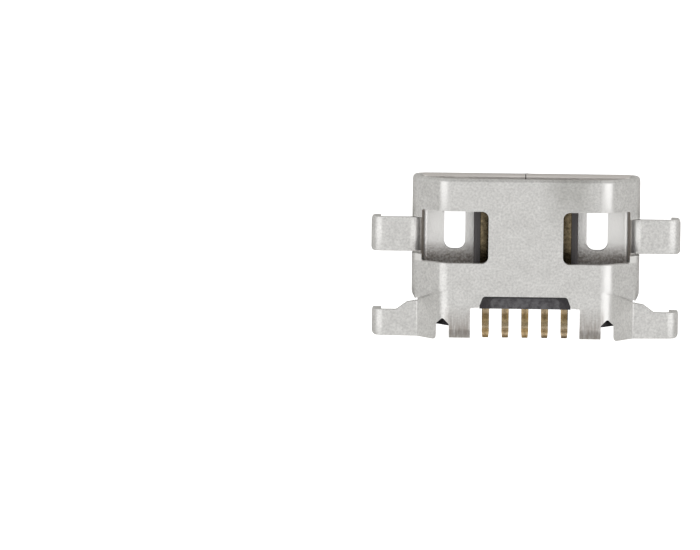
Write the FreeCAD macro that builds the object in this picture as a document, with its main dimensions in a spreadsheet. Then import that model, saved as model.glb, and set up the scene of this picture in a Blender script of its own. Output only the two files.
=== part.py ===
import FreeCAD, Part
import math
import os
import re

import Sketcher
from FreeCAD import Vector

# Charging port: a five-contact receptacle that sinks into a cut-out of a circuit board.
# Lengths are in millimetres and angles in degrees. Each piece is drawn with the mouth in the
# plane Y = 0, the rear towards +Y, the outer face of the wide plate at Z = 0 and the narrow
# plate above it. Its Placement then moves the whole to the bottom centre of its own box.

SIZES = [
    # The opening that a plug goes into, and the sheet that is folded round it
    ("mouth_width", 6.9),
    ("mouth_height", 1.85),
    ("narrow_width", 5.2),
    ("side_wall_height", 1.0),
    ("sheet_thickness", 0.3),
    ("bend_radius", 0.2),
    ("rim_radius", 0.12),
    # How far the rear ends of the plates lie behind the tube's rear edge
    ("rear_reach", 1.66),
    ("crease_angle", 24),
    ("crease_width", 0.12),
    ("wall_corner_start", 0.14),
    ("wall_corner_radius", 0.3),
    ("wide_plate_end", 0.43),
    ("wide_corner_radius", 0.48),
    # Wings and legs, with the board's top under the wings
    ("seat_height", 1.0),
    ("overall_width", 10.2),
    ("overall_length", 5.36),
    ("leg_reach", 0.8),
    ("wing_bend_radius", 0.1),
    ("leg_corner_radius", 0.12),
    ("front_wing_start", 1.39),
    ("front_wing_length", 1.12),
    ("relief_gap", 0.05),
    ("crease_inset", 0.2),
    ("strap_side_inset", 0.18),
    ("strap_end", 1.63),
    ("strap_neck", 0.45),
    ("rear_wing_start", 0.76),
    ("rear_wing_slope", 0.02),
    ("rear_tip_inset", 0.04),
    ("wing_neck_share", 0.22),
    ("wing_shoulder_share", 0.46),
    ("tip_radius", 0.16),
    # Windows that the front wings are cut from
    ("window_gap", 2.45),
    ("window_inset", 0.02),
    ("window_start", 1.07),
    ("window_length", 1.72),
    ("window_corner_radius", 0.22),
    # Latch slots in the wide plate and the raised lead-in before each
    ("slot_spacing", 4.72),
    ("slot_width", 0.7),
    ("slot_flare_width", 0.9),
    ("slot_start", 1.085),
    ("slot_flare_length", 0.22),
    ("slot_end", 2.52),
    ("slot_corner_radius", 0.27),
    ("lead_height", 0.1),
    ("lead_width", 0.8),
    ("lead_start", 0.55),
    ("lead_taper", 0.08),
    ("lead_slope", 50),
    # Notch in the wide plate's rear edge
    ("notch_depth", 0.69),
    ("notch_shoulder_depth", 0.59),
    ("notch_width", 3.84),
    ("notch_flare", 0.1),
    ("relief_spacing", 2.76),
    ("relief_radius", 0.12),
    ("relief_depth", 0.12),
    # Rear edge of the narrow plate and its two bent tabs, behind the tube's rear edge
    ("narrow_plate_end", 0.165),
    ("rear_opening_width", 2.74),
    ("rear_opening_flare", 0.15),
    ("tab_gap", 3.6),
    ("tab_root", 0.44),
    ("tab_width", 0.7),
    ("tab_length", 1.58),
    ("tab_bend_radius", 0.1),
    ("tab_drop", 0.95),
    ("tab_slit_width", 0.42),
    ("tab_slit_start", 0.88),
    ("tab_gusset_length", 0.14),
    ("tab_gusset_width", 0.12),
    # Line where the folded sheet closes, with its two interlocking lobes
    ("seam_gap", 0.03),
    ("seam_offset", 0.03),
    ("lobe_start", 0.6),
    ("lobe_width", 0.56),
    ("lobe_middle", 1.79),
    ("lobe_hook", 0.3),
    ("lobe_hook_height", 0.26),
    ("lobe_end", 2.48),
    ("lobe_front_slope", 0.1),
    ("lobe_rear_slope", 0.03),
    ("lobe_corner_radius", 0.08),
    ("seam_mouth_width", 0.06),
    ("seam_mouth_depth", 0.06),
    # Insulator, with its ends behind the tube's rear edge
    ("clearance", 0.02),
    ("base_depth", 0.7),
    ("base_end", 0.45),
    ("rear_boss_width", 3.0),
    ("rear_boss_end", 0.6),
    ("bar_width", 3.72),
    ("bar_end", 0.54),
    ("bar_gap", 0.13),
    ("bar_sink", 0.03),
    ("bar_corner_radius", 0.18),
    ("bar_chamfer", 0.08),
    ("block_gap", 3.66),
    ("block_start", 0.58),
    ("block_end", 1.17),
    ("block_corner_radius", 0.15),
    ("groove_height", 0.5),
    ("recess_width", 2.3),
    ("recess_start", 0.26),
    ("recess_depth", 0.04),
    ("tongue_width", 3.44),
    ("tongue_thickness", 0.6),
    ("tongue_start", 0.5),
    ("tongue_floor", 0.75),
    ("tongue_nose", 0.15),
    ("tongue_chamfer", 0.08),
    # Contacts
    ("contact_count", 5),
    ("contact_pitch", 0.65),
    ("contact_thickness", 0.15),
    ("contact_width", 0.4),
    ("contact_start", 0.75),
    ("contact_shoulder_depth", 0.35),
    ("contact_proud", 0.02),
    ("tail_width", 0.24),
    ("tail_bend", 1.07),
    ("tail_radius", 0.08),
    ("tail_tip_width", 0.2),
    ("tail_taper_length", 0.2),
]

# Formulas that several pieces share, written with the names above
INSIDE_HALF = "(mouth_width / 2)"
OUTSIDE_HALF = "(mouth_width / 2 + sheet_thickness)"
SHELL_HEIGHT = "(mouth_height + 2 * sheet_thickness)"
CEILING = "(mouth_height + sheet_thickness)"
OUTER_RADIUS = "(bend_radius + sheet_thickness)"
SLANT = "atan2(mouth_height - side_wall_height; (mouth_width - narrow_width) / 2)"
INNER_SHOULDER = "(sheet_thickness + side_wall_height)"
OUTER_SHOULDER = f"({INNER_SHOULDER} + sheet_thickness * tan(45 deg - {SLANT} / 2))"
NARROW_HALF = "(narrow_width / 2)"
NARROW_OUTER_HALF = f"({NARROW_HALF} + sheet_thickness * tan({SLANT} / 2))"
WING_TOP = "(seat_height + sheet_thickness)"
WIDE_PLATE_TOP = "(sheet_thickness + bend_radius)"
CREASE_HALF = f"({OUTSIDE_HALF} - crease_inset)"
STRAP_SLANT = f"atan2({SHELL_HEIGHT} - {WING_TOP}; {CREASE_HALF} - {NARROW_OUTER_HALF})"
STRAP_SHIFT = f"(sheet_thickness * tan({STRAP_SLANT} / 2))"
TIP_HALF = "(overall_width / 2)"
REAR_TIP_HALF = f"({TIP_HALF} - rear_tip_inset)"
LEG_END = "(seat_height - leg_reach)"
# A wing's bends take at most nearly half of its underside each
WING_BEND = f"min(wing_bend_radius; ({TIP_HALF} - sheet_thickness - {OUTSIDE_HALF}) * 0.45)"
WING_OUTER_RADIUS = f"({WING_BEND} + sheet_thickness)"
STRAP_SIDE = f"({OUTSIDE_HALF} - strap_side_inset)"
WING_NECK = f"({STRAP_SIDE} + wing_neck_share * ({REAR_TIP_HALF} - {STRAP_SIDE}))"
WING_SHOULDER = f"({STRAP_SIDE} + wing_shoulder_share * ({REAR_TIP_HALF} - {STRAP_SIDE}))"
WINDOW_SIDE = f"({INSIDE_HALF} - window_inset)"
# Places along the part, from the mouth
TUBE_END = "(overall_length - rear_reach)"
CREASE_FLAT = f"({NARROW_HALF} - bend_radius)"
CREASE_REACH = f"(({NARROW_OUTER_HALF} - {CREASE_FLAT}) * tan(crease_angle) + crease_width)"
WALL_RUN_START = f"({TUBE_END} - {CREASE_REACH})"
WALL_CORNER = f"({TUBE_END} + wall_corner_start)"
STRAP_NECK = f"({TUBE_END} + strap_neck)"
STRAP_END = f"({TUBE_END} + strap_end)"
REAR_WING_START = f"({TUBE_END} + rear_wing_start)"
WIDE_PLATE_END = f"({TUBE_END} + wide_plate_end)"
NOTCH_START = f"({WIDE_PLATE_END} - notch_depth)"
NOTCH_SHOULDER = f"({WIDE_PLATE_END} - notch_shoulder_depth)"
NARROW_PLATE_END = f"({TUBE_END} + narrow_plate_end)"
TAB_ROOT = f"({TUBE_END} + tab_root)"
TAB_SLIT_START = f"({TUBE_END} + tab_slit_start)"
TAB_END = f"({TUBE_END} + tab_length)"
BASE_START = f"({TUBE_END} - base_depth)"
BASE_END = f"({TUBE_END} + base_end)"
REAR_BOSS_END = f"({TUBE_END} + rear_boss_end)"
RECESS_START = f"({TUBE_END} + recess_start)"
BAR_START = f"({NOTCH_START} + bar_gap)"
BAR_END = f"({TUBE_END} + bar_end)"
BLOCK_START = f"({TUBE_END} + block_start)"
BLOCK_END = f"({TUBE_END} + block_end)"
CONTACT_SHOULDER = f"({TUBE_END} - contact_shoulder_depth)"
TAIL_BEND = f"({TUBE_END} + tail_bend)"
CONTACT_FLOOR = "(tongue_floor + tongue_thickness + contact_proud - contact_thickness)"
# Just under half of the relief's width, so that a straight line stays between its two arcs
RELIEF_END = "(0.95 * relief_radius)"
# How far a cut starts or ends outside what it cuts, and a height that passes everything
OVERRUN = 1
PAST_ALL = 3 + 2 * OVERRUN

doc = FreeCAD.newDocument("ChargingPort")
sheet = doc.addObject("Spreadsheet::Sheet", "Sizes")
for row, (alias, value) in enumerate(SIZES, start=1):
    sheet.set(f"A{row}", alias)
    sheet.set(f"B{row}", str(value))
    sheet.setAlias(f"B{row}", alias)
doc.recompute()
ALIASES = {alias for alias, value in SIZES}


def formula(text):
    """The text with each size's name pointing at the sheet."""
    words = r"[a-z]\w*"
    return re.sub(words, lambda word: f"Sizes.{word[0]}" if word[0] in ALIASES else word[0], str(text))


def measure(text):
    """The number that a formula gives now."""
    result = sheet.evalExpression(formula(text))
    return float(getattr(result, "Value", result))


def bind(target, prop, text):
    """Ties a property to the sheet where the formula names a size, and sets it otherwise."""
    target.setExpression(prop, formula(text))


def new_body(name):
    """An empty body that is moved to the bottom centre of the whole part's box."""
    body = doc.addObject("PartDesign::Body", name)
    body.Label = name
    bind(body, "Placement.Base.y", "-overall_length / 2")
    bind(body, "Placement.Base.z", "lead_height")
    return body


def new_sketch(body, name, plane, offset="0"):
    """A sketch on one of the body's own planes, moved along the plane's normal by offset."""
    sketch = body.newObject("Sketcher::SketchObject", name)
    role = [feature for feature in body.Origin.OriginFeatures if feature.Role == plane]
    sketch.AttachmentSupport = [(role[0], "")]
    sketch.MapMode = "FlatFace"
    bind(sketch, "AttachmentOffset.Base.z", offset)
    return sketch


def hold(sketch, kind, position, text):
    """One length constraint tied to the sheet."""
    index = sketch.addConstraint(Sketcher.Constraint(kind, *position, measure(text)))
    sketch.setExpression(f"Constraints[{index}]", formula(text))


def corner_arc(before, corner, after, radius):
    """The arc that rounds a corner, and whether it runs with the outline or against it."""
    to_before = (before - corner).normalize()
    to_after = (after - corner).normalize()
    half_angle = to_before.getAngle(to_after) / 2
    bisector = (to_before + to_after).normalize()
    centre = corner + bisector * (radius / math.sin(half_angle))
    start = corner + to_before * (radius / math.tan(half_angle)) - centre
    end = corner + to_after * (radius / math.tan(half_angle)) - centre
    forward = start.cross(end).z > 0
    first, last = (start, end) if forward else (end, start)
    circle = Part.Circle(centre, Vector(0, 0, 1), radius)
    first_angle = math.atan2(first.y, first.x)
    last_angle = math.atan2(last.y, last.x)
    return Part.ArcOfCircle(circle, first_angle, last_angle), forward


def draw_line(sketch, corners, closed=True):
    """An outline through corners of (x, y) or (x, y, radius), all tied to the sheet."""
    points = [Vector(measure(corner[0]), measure(corner[1]), 0) for corner in corners]
    count = len(corners)
    arcs = {}
    for index, corner in enumerate(corners):
        if len(corner) == 3:
            around = points[index - 1], points[index], points[(index + 1) % count]
            arc, forward = corner_arc(*around, measure(corner[2]))
            arcs[index] = (sketch.addGeometry(arc), forward)
    starts = []
    for index in range(count if closed else count - 1):
        ends = []
        for place, pick in ((index, "after"), ((index + 1) % count, "before")):
            if place in arcs:
                arc, forward = arcs[place]
                at_end = forward == (pick == "after")
                edge = sketch.Geometry[arc]
                ends.append(edge.EndPoint if at_end else edge.StartPoint)
            else:
                ends.append(points[place])
        starts.append(sketch.addGeometry(Part.LineSegment(*ends)))
    for index, corner in enumerate(corners):
        before = starts[index - 1] if closed or index > 0 else None
        after = starts[index] if index < len(starts) else None
        if index in arcs:
            arc, forward = arcs[index]
            first, last = (1, 2) if forward else (2, 1)
            mark = sketch.addGeometry(Part.Point(points[index]), True)
            sketch.addConstraint(Sketcher.Constraint("Tangent", before, 2, arc, first))
            sketch.addConstraint(Sketcher.Constraint("Tangent", arc, last, after, 1))
            sketch.addConstraint(Sketcher.Constraint("PointOnObject", mark, 1, before))
            sketch.addConstraint(Sketcher.Constraint("PointOnObject", mark, 1, after))
            hold(sketch, "Radius", (arc,), corner[2])
            held = (mark, 1)
        elif before is None:
            held = (after, 1)
        else:
            held = (before, 2)
            if after is not None:
                sketch.addConstraint(Sketcher.Constraint("Coincident", before, 2, after, 1))
        hold(sketch, "DistanceX", held, corner[0])
        hold(sketch, "DistanceY", held, corner[1])


def extrude(body, kind, name, sketch, length, reverse=False, both=False):
    """A Pad or a Pocket of the sketch, bound to its length."""
    feature = body.newObject(f"PartDesign::{kind}", name)
    feature.Profile = sketch
    feature.Reversed = reverse
    feature.SideType = "Symmetric" if both else "One side"
    bind(feature, "Length", length)
    doc.recompute()
    return feature


def pad_rearwards(body, name, corners, start, end):
    """A section drawn across the part, pushed from start to end along +Y."""
    sketch = new_sketch(body, f"{name}_section", "XZ_Plane", f"-({start})")
    draw_line(sketch, corners)
    return extrude(body, "Pad", name, sketch, f"({end}) - ({start})", reverse=True)


def cut_upwards(body, name, loops, floor, height=PAST_ALL):
    """Outlines seen from above, cut from floor upwards."""
    sketch = new_sketch(body, f"{name}_outline", "XY_Plane", floor)
    for corners in loops:
        draw_line(sketch, corners)
    return extrude(body, "Pocket", name, sketch, height, reverse=True)


def cut_across(body, name, corners):
    """An outline seen from the side, cut right across the part."""
    sketch = new_sketch(body, f"{name}_side", "YZ_Plane")
    draw_line(sketch, corners)
    return extrude(body, "Pocket", name, sketch, "overall_width", both=True)


def pad_upwards(body, name, corners, floor, height):
    """An outline seen from above, raised from floor by height."""
    sketch = new_sketch(body, f"{name}_outline", "XY_Plane", floor)
    draw_line(sketch, corners)
    return extrude(body, "Pad", name, sketch, height)


def tube_section():
    """Right half of the folded tube, seen from the mouth."""
    return [
        ("0", "0"),
        (OUTSIDE_HALF, "0", OUTER_RADIUS),
        (OUTSIDE_HALF, OUTER_SHOULDER, OUTER_RADIUS),
        (NARROW_OUTER_HALF, SHELL_HEIGHT, OUTER_RADIUS),
        ("0", SHELL_HEIGHT),
        ("0", CEILING),
        (NARROW_HALF, CEILING, "bend_radius"),
        (INSIDE_HALF, INNER_SHOULDER, "bend_radius"),
        (INSIDE_HALF, "sheet_thickness", "bend_radius"),
        ("0", "sheet_thickness"),
    ]


def pan_section():
    """Right half of the tube's lower part, up to the height where the strap is cut free."""
    return [
        ("0", "0"),
        (OUTSIDE_HALF, "0", OUTER_RADIUS),
        (OUTSIDE_HALF, "seat_height"),
        (INSIDE_HALF, "seat_height"),
        (INSIDE_HALF, "sheet_thickness", "bend_radius"),
        ("0", "sheet_thickness"),
    ]


def strap_section():
    """Right half of the strap behind the tube: narrow plate, slope, wing and leg."""
    return [
        ("0", SHELL_HEIGHT),
        (NARROW_OUTER_HALF, SHELL_HEIGHT, OUTER_RADIUS),
        (CREASE_HALF, WING_TOP, WING_BEND),
        (REAR_TIP_HALF, WING_TOP, WING_OUTER_RADIUS),
        (REAR_TIP_HALF, LEG_END),
        (f"{REAR_TIP_HALF} - sheet_thickness", LEG_END),
        (f"{REAR_TIP_HALF} - sheet_thickness", "seat_height", WING_BEND),
        (f"{CREASE_HALF} - {STRAP_SHIFT}", "seat_height", WING_OUTER_RADIUS),
        (f"{NARROW_OUTER_HALF} - {STRAP_SHIFT}", CEILING, "bend_radius"),
        ("0", CEILING),
    ]


def front_wing_section():
    """A front wing from the side wall outwards, with its leg."""
    return [
        (INSIDE_HALF, "sheet_thickness + bend_radius"),
        (OUTSIDE_HALF, "sheet_thickness + bend_radius"),
        (OUTSIDE_HALF, "seat_height", WING_BEND),
        (f"{TIP_HALF} - sheet_thickness", "seat_height", WING_BEND),
        (f"{TIP_HALF} - sheet_thickness", LEG_END),
        (TIP_HALF, LEG_END),
        (TIP_HALF, WING_TOP, WING_OUTER_RADIUS),
        (INSIDE_HALF, WING_TOP, WING_OUTER_RADIUS),
    ]


def crease_line(x, side):
    """Where the front (side -1) or the rear (side 1) of the crease lies at x."""
    middle = f"{TUBE_END} + ({x} - {NARROW_OUTER_HALF}) * tan(crease_angle)"
    return f"({middle} + {side} * crease_width / 2)"


def crease_sketch(body, name, side, corners):
    """A section in the upright plane along one side of the crease."""
    sketch = new_sketch(body, name, "XZ_Plane", f"-{crease_line('0', side)}")
    sketch.AttachmentOffset.Rotation = FreeCAD.Rotation(Vector(0, 1, 0), measure("crease_angle"))
    bind(sketch, "AttachmentOffset.Rotation.Axis.y", "1")
    bind(sketch, "AttachmentOffset.Rotation.Angle", "crease_angle")
    draw_line(sketch, [(f"({x}) / cos(crease_angle)", *rest) for x, *rest in corners])
    return sketch


def join_sections(body, name, sections):
    """A solid with straight lines from one section to the next."""
    doc.recompute()
    loft = body.newObject("PartDesign::AdditiveLoft", name)
    loft.Profile = sections[0]
    loft.Sections = sections[1:]
    loft.Ruled = True
    doc.recompute()


def build_strap(body):
    """The narrow plate and slope behind the crease, with the rear wings."""
    pad_rearwards(body, "strap", strap_section(), WALL_RUN_START, f"{STRAP_END} + sheet_thickness")
    cut_upwards(body, "strap_front", [[
        (CREASE_FLAT, f"{WALL_RUN_START} - {OVERRUN}"),
        (CREASE_FLAT, crease_line(CREASE_FLAT, 1)),
        (CREASE_HALF, crease_line(CREASE_HALF, 1)),
        (CREASE_HALF, STRAP_NECK),
        (f"{TIP_HALF} + {OVERRUN}", STRAP_NECK),
        (f"{TIP_HALF} + {OVERRUN}", f"{WALL_RUN_START} - {OVERRUN}"),
    ]], f"-{OVERRUN}")


def build_crease(body):
    """The slanted wall runs on behind the tube, and a crease steps it down to the strap's slope."""
    wall = [
        (CREASE_FLAT, SHELL_HEIGHT),
        (NARROW_OUTER_HALF, SHELL_HEIGHT, OUTER_RADIUS),
        (OUTSIDE_HALF, OUTER_SHOULDER, OUTER_RADIUS),
        (OUTSIDE_HALF, "seat_height"),
        (INSIDE_HALF, "seat_height"),
        (INSIDE_HALF, INNER_SHOULDER, "bend_radius"),
        (NARROW_HALF, CEILING, "bend_radius"),
        (CREASE_FLAT, CEILING),
    ]
    wall_start = new_sketch(body, "wall_start", "XZ_Plane", f"-{WALL_RUN_START}")
    draw_line(wall_start, wall)
    join_sections(body, "wall_run", [wall_start, crease_sketch(body, "wall_end", -1, wall)])
    inner_end = f"({CREASE_HALF} - {STRAP_SHIFT})"
    high_end = f"{INNER_SHOULDER} + ({INSIDE_HALF} - {inner_end}) * tan({SLANT})"
    crease_front = [
        (CREASE_FLAT, SHELL_HEIGHT),
        (NARROW_OUTER_HALF, SHELL_HEIGHT, OUTER_RADIUS),
        (CREASE_HALF, f"{OUTER_SHOULDER} + crease_inset * tan({SLANT})"),
        (inner_end, high_end),
        (NARROW_HALF, CEILING, "bend_radius"),
        (CREASE_FLAT, CEILING),
    ]
    crease_rear = [
        (CREASE_FLAT, SHELL_HEIGHT),
        (NARROW_OUTER_HALF, SHELL_HEIGHT, OUTER_RADIUS),
        (CREASE_HALF, WING_TOP),
        (inner_end, "seat_height"),
        (f"{NARROW_OUTER_HALF} - {STRAP_SHIFT}", CEILING, "bend_radius"),
        (CREASE_FLAT, CEILING),
    ]
    join_sections(body, "crease", [
        crease_sketch(body, "crease_front", -1, crease_front),
        crease_sketch(body, "crease_rear", 1, crease_rear),
    ])


def trim_strap(body):
    """Cuts the strap to its outline: wing shoulders and tips, tab slits and the contacts' opening."""
    side = f"{TIP_HALF} + {OVERRUN}"
    rear = f"overall_length + {OVERRUN}"
    slit_side = "tab_gap / 2 + tab_width + tab_slit_width"
    tab_bend_start = f"{TAB_END} - tab_bend_radius - sheet_thickness"
    wing_front = [
        (OUTSIDE_HALF, WALL_RUN_START),
        (OUTSIDE_HALF, WALL_CORNER, "wall_corner_radius"),
        (STRAP_SIDE, STRAP_NECK, "leg_corner_radius / 2"),
        (WING_NECK, f"{STRAP_NECK} + relief_gap", "leg_corner_radius"),
        (WING_SHOULDER, REAR_WING_START, "leg_corner_radius"),
        (REAR_TIP_HALF, REAR_WING_START, "leg_corner_radius / 2"),
        (REAR_TIP_HALF, f"{REAR_WING_START} + tip_radius"),
        (side, f"{REAR_WING_START} + tip_radius"),
        (side, WALL_RUN_START),
    ]
    tip_end = f"({STRAP_END} - rear_wing_slope)"
    wing_rear = [
        (side, rear),
        (side, f"{tip_end} - 2 * tip_radius"),
        (REAR_TIP_HALF, f"{tip_end} - 2 * tip_radius"),
        (REAR_TIP_HALF, tip_end, "tip_radius"),
        (slit_side, STRAP_END, "leg_corner_radius"),
        (slit_side, f"{TAB_SLIT_START} + tab_slit_width / 2"),
        ("tab_gap / 2 + tab_width + tab_slit_width / 2", TAB_SLIT_START, "leg_corner_radius / 2"),
        ("tab_gap / 2 + tab_width", f"{TAB_SLIT_START} + tab_slit_width / 2"),
        ("tab_gap / 2 + tab_width", tab_bend_start),
        ("tab_gap / 2", tab_bend_start),
        ("tab_gap / 2", f"{TAB_ROOT} + tab_gusset_length", "leg_corner_radius"),
        ("tab_gap / 2 - tab_gusset_width", TAB_ROOT, "leg_corner_radius / 2"),
        ("rear_opening_width / 2 + rear_opening_flare", TAB_ROOT),
        ("rear_opening_width / 2", NARROW_PLATE_END, "leg_corner_radius"),
        ("0", NARROW_PLATE_END),
        ("0", rear),
    ]
    cut_upwards(body, "strap_trim", [wing_front, wing_rear], f"-{OVERRUN}")


def build_tab(body):
    """The tab that folds down behind the insulator's block."""
    inside_strap = f"{TAB_END} - tab_bend_radius - 2 * sheet_thickness"
    sketch = new_sketch(body, "tab_side", "YZ_Plane", "tab_gap / 2")
    draw_line(sketch, [
        (inside_strap, SHELL_HEIGHT),
        (inside_strap, CEILING),
        (f"{TAB_END} - sheet_thickness", CEILING, "tab_bend_radius"),
        (f"{TAB_END} - sheet_thickness", f"{SHELL_HEIGHT} - tab_drop"),
        (TAB_END, f"{SHELL_HEIGHT} - tab_drop"),
        (TAB_END, SHELL_HEIGHT, "tab_bend_radius + sheet_thickness"),
    ])
    extrude(body, "Pad", "tab", sketch, "tab_width")


def round_rim(body, tube):
    """Rounds the mouth's rim, outside and inside."""
    edges = []
    for index, edge in enumerate(tube.Shape.Edges, start=1):
        box = edge.BoundBox
        if abs(box.YMin) < 1e-6 and box.YMax < 1e-6 and box.XMax > 1e-6:
            edges.append(f"Edge{index}")
    rim = body.newObject("PartDesign::Fillet", "rim")
    rim.Base = (tube, edges)
    bind(rim, "Radius", "rim_radius")
    doc.recompute()


def build_tube(body):
    """The closed tube with a rounded rim, and the lower part that runs on behind it."""
    tube = pad_rearwards(body, "tube", tube_section(), "0", WALL_RUN_START)
    round_rim(body, tube)
    pad_rearwards(body, "pan", pan_section(), WALL_RUN_START, WIDE_PLATE_END)


def trim_pan(body):
    """Rounds the wide plate's rear corner and cuts the notch for the insulator's bar."""
    side = f"{OUTSIDE_HALF} + {OVERRUN}"
    far = f"{WIDE_PLATE_END} + {OVERRUN}"
    corner = [
        (side, f"{WIDE_PLATE_END} - 2 * wide_corner_radius"),
        (OUTSIDE_HALF, f"{WIDE_PLATE_END} - 2 * wide_corner_radius"),
        (OUTSIDE_HALF, WIDE_PLATE_END, "wide_corner_radius"),
        (f"{OUTSIDE_HALF} - 2 * wide_corner_radius", WIDE_PLATE_END),
        (f"{OUTSIDE_HALF} - 2 * wide_corner_radius", far),
        (side, far),
    ]
    notch = [
        ("0", NOTCH_START),
        ("relief_spacing / 2 - relief_radius", NOTCH_START, "leg_corner_radius / 2"),
        ("relief_spacing / 2 - relief_radius", f"{NOTCH_START} - relief_depth", RELIEF_END),
        ("relief_spacing / 2 + relief_radius", f"{NOTCH_START} - relief_depth", RELIEF_END),
        ("relief_spacing / 2 + relief_radius", NOTCH_SHOULDER),
        ("notch_width / 2", NOTCH_SHOULDER, "leg_corner_radius"),
        ("notch_width / 2 + notch_flare", WIDE_PLATE_END),
        ("notch_width / 2 + notch_flare", far),
        ("0", far),
    ]
    cut_upwards(body, "pan_trim", [corner, notch], f"-{OVERRUN}", f"{OVERRUN} + seat_height")


def cut_window(body):
    """The window in the narrow plate and slanted wall that the front wing was folded out of."""
    cut_upwards(body, "window", [[
        ("window_gap / 2", "window_start", "window_corner_radius"),
        (WINDOW_SIDE, "window_start", "leg_corner_radius / 2"),
        (WINDOW_SIDE, "window_start + window_length", "leg_corner_radius / 2"),
        ("window_gap / 2", "window_start + window_length", "window_corner_radius"),
    ]], "sheet_thickness + side_wall_height / 2")


def build_front_wing(body):
    """Frees the front wing's strip from the side wall and folds it out over the board."""
    start = "front_wing_start - relief_gap"
    end = "front_wing_start + front_wing_length + relief_gap"
    cut_upwards(body, "wing_relief", [[
        (f"{INSIDE_HALF} - bend_radius", start),
        (f"{OUTSIDE_HALF} + bend_radius", start),
        (f"{OUTSIDE_HALF} + bend_radius", end),
        (f"{INSIDE_HALF} - bend_radius", end),
    ]], f"seat_height - {WING_BEND}")
    wing_end = "front_wing_start + front_wing_length"
    pad_rearwards(body, "front_wing", front_wing_section(), "front_wing_start", wing_end)
    loops = []
    for edge, side in (("front_wing_start", OVERRUN), (wing_end, -OVERRUN)):
        loops.append([
            (f"{TIP_HALF} - 2 * leg_corner_radius", edge),
            (TIP_HALF, edge, "leg_corner_radius"),
            (TIP_HALF, f"{edge} + {side} * 2 * leg_corner_radius"),
            (f"{TIP_HALF} + {OVERRUN}", f"{edge} + {side} * 2 * leg_corner_radius"),
            (f"{TIP_HALF} + {OVERRUN}", f"{edge} - {side}"),
            (f"{TIP_HALF} - 2 * leg_corner_radius", f"{edge} - {side}"),
        ])
    cut_upwards(body, "front_wing_tip", loops, f"-{OVERRUN}")


def build_lead_in(body):
    """The wide plate pressed outwards before the latch slot, hollow on the inside."""
    centre = "slot_spacing / 2"
    slot_front = "slot_start + slot_flare_length"
    outline = [
        (f"{centre} - lead_width / 2", slot_front),
        (f"{centre} - lead_width / 2 + lead_taper", "lead_start"),
        (f"{centre} + lead_width / 2 - lead_taper", "lead_start"),
        (f"{centre} + lead_width / 2", slot_front),
    ]
    outside = new_sketch(body, "lead_outline", "XY_Plane")
    draw_line(outside, outline)
    press = extrude(body, "Pad", "lead_press", outside, "lead_height", reverse=True)
    bind(press, "TaperAngle", "-lead_slope")
    inside = new_sketch(body, "lead_hollow_outline", "XY_Plane", "sheet_thickness")
    draw_line(inside, outline)
    hollow = extrude(body, "Pocket", "lead_hollow", inside, "lead_height")
    bind(hollow, "TaperAngle", "-lead_slope")


def cut_slot(body):
    """The latch slot, flared at its front."""
    centre = "slot_spacing / 2"
    neck = "slot_start + slot_flare_length"
    outline = []
    for side, order in ((-1, 1), (1, -1)):
        run = [
            (f"{centre} + {side} * slot_width / 2", "slot_end", "slot_corner_radius"),
            (f"{centre} + {side} * slot_width / 2", neck, "slot_corner_radius"),
            (f"{centre} + {side} * slot_flare_width / 2", "slot_start"),
        ]
        outline += run[::order]
    cut_upwards(body, "slot", [outline], f"-{OVERRUN}", f"{OVERRUN} + {WIDE_PLATE_TOP}")


def mirror_half(body):
    """Adds the left half to the right one."""
    mirrored = body.newObject("PartDesign::Mirrored", "both_halves")
    mirrored.TransformMode = "Whole shape"
    plane = [feature for feature in body.Origin.OriginFeatures if feature.Role == "YZ_Plane"]
    mirrored.MirrorPlane = (plane[0], [""])
    body.Tip = mirrored
    doc.recompute()


def cut_seam(body):
    """The closing line of the fold, from the mouth's rim to the notch."""
    path = new_sketch(body, "seam_path", "XY_Plane")
    corner = "lobe_corner_radius"
    hook = "-(lobe_width - lobe_hook) - seam_offset"
    hook_end = "lobe_middle - lobe_hook_height"
    draw_line(path, [
        ("seam_offset", "-sheet_thickness"),
        ("seam_offset", "lobe_start", f"2 * {corner}"),
        ("lobe_width", "lobe_start + lobe_front_slope", corner),
        ("lobe_width", "lobe_middle", corner),
        (hook, "lobe_middle", f"{corner} / 2"),
        (hook, hook_end, f"{corner} / 2"),
        ("-lobe_width - seam_offset", f"{hook_end} - lobe_front_slope", corner),
        ("-lobe_width - seam_offset", "lobe_end", corner),
        ("-seam_offset", "lobe_end + lobe_rear_slope", corner),
        ("-seam_offset", f"{NOTCH_START} + sheet_thickness"),
    ], closed=False)
    cutter = new_sketch(body, "seam_section", "XZ_Plane", "sheet_thickness")
    draw_line(cutter, [
        ("seam_offset - seam_gap / 2", "-lead_height"),
        ("seam_offset + seam_gap / 2", "-lead_height"),
        ("seam_offset + seam_gap / 2", WIDE_PLATE_TOP),
        ("seam_offset - seam_gap / 2", WIDE_PLATE_TOP),
    ])
    doc.recompute()
    seam = body.newObject("PartDesign::SubtractivePipe", "seam")
    seam.Profile = cutter
    seam.Spine = (path, [f"Edge{index}" for index in range(1, len(path.Shape.Edges) + 1)])
    seam.Transition = "Right corner"
    doc.recompute()
    cut_upwards(body, "seam_mouth", [[
        ("seam_offset - seam_mouth_width / 2", f"-{OVERRUN}"),
        ("seam_offset + seam_mouth_width / 2", f"-{OVERRUN}"),
        ("seam_offset + seam_mouth_width / 2", "0"),
        ("seam_offset", "seam_mouth_depth"),
        ("seam_offset - seam_mouth_width / 2", "0"),
    ]], f"-{OVERRUN}", f"{OVERRUN} + {WIDE_PLATE_TOP}")


def build_shell():
    """The one folded sheet: tube, wings, legs and tabs."""
    body = new_body("shell")
    build_strap(body)
    build_crease(body)
    trim_strap(body)
    build_tab(body)
    build_tube(body)
    trim_pan(body)
    cut_window(body)
    build_front_wing(body)
    build_lead_in(body)
    cut_slot(body)
    mirror_half(body)
    cut_seam(body)
    return body


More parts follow.
